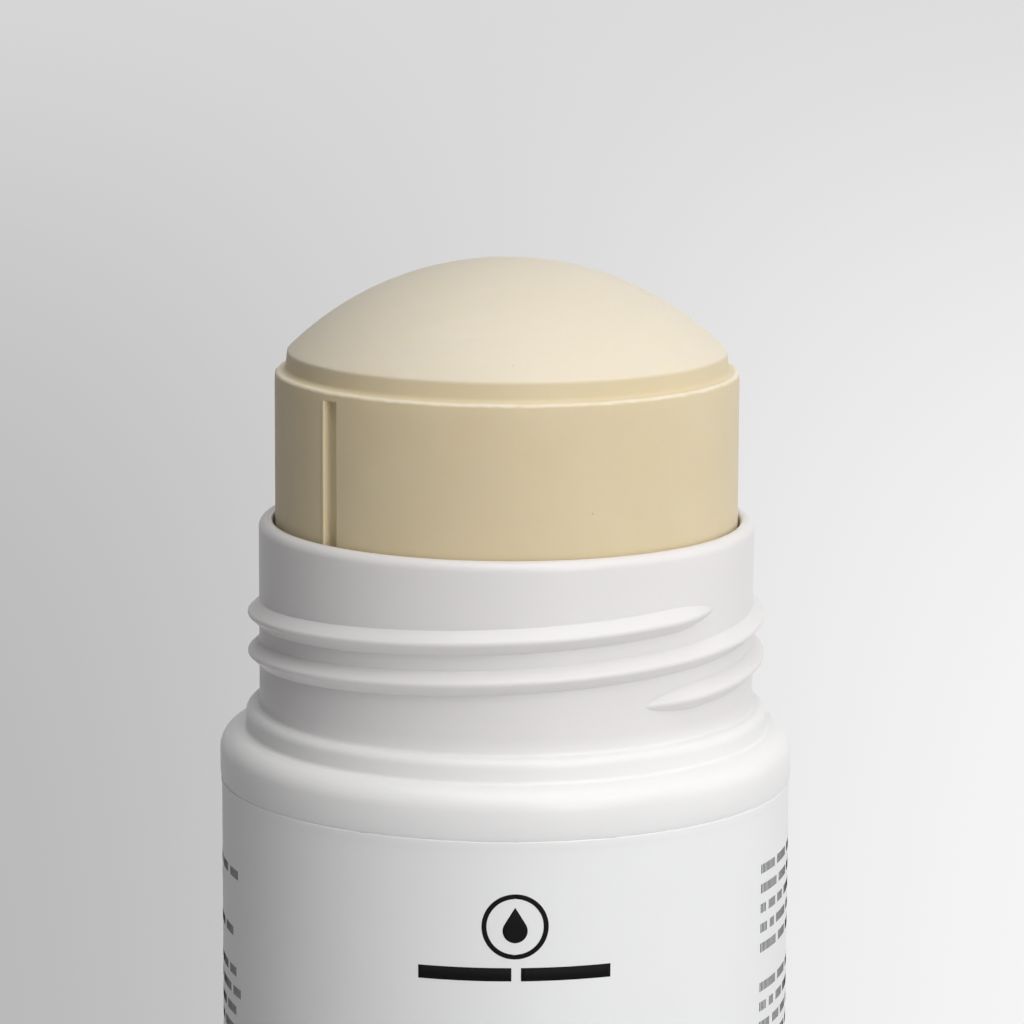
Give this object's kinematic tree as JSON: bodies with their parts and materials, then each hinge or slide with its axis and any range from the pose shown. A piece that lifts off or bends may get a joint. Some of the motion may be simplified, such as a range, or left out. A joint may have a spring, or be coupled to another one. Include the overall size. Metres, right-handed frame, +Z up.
{
  "type": "deodorant stick",
  "caption": "Round twist-up deodorant stick without its cap: a balm bar that a hand wheel and spindle raise out of a white double-walled barrel with a threaded neck.",
  "frame": {"origin": "centre of the underside of the hand wheel, on the surface that the stick stands on", "axes": "+Z up along the stick's axis, -Y towards the viewer of the picture, +X to the viewer's right"},
  "size_m": [0.0502, 0.0502, 0.1115],
  "materials": {
    "barrel_plastic": "glossy injection-moulded polypropylene",
    "label_film": "satin film label",
    "inner_plastic": "natural white moulding",
    "balm": "soft waxy solid"
  },
  "bodies": {
    "barrel": {"barrel": "barrel_plastic", "label": "label_film", "base_plate": "inner_plastic"},
    "wheel": {"hand_wheel": "barrel_plastic", "spindle": "inner_plastic"},
    "bar": {"carrier": "inner_plastic", "balm_bar": "balm"}
  },
  "joints": [
    {"name": "wheel_turn", "type": "hinge", "parent": "barrel", "child": "wheel", "pos_m": [0, 0, 0.0134], "axis": [0, 0, 1], "range_deg": [-1290, 3482]},
    {"name": "bar_slide", "type": "slide", "parent": "barrel", "child": "bar", "axis": [0, 0, 1], "range_m": [-0.0161, 0.0435]}
  ],
  "couplings": [
    {"joint": "wheel_turn", "follows": "bar_slide", "rad_per_m": 1396.3}
  ]
}
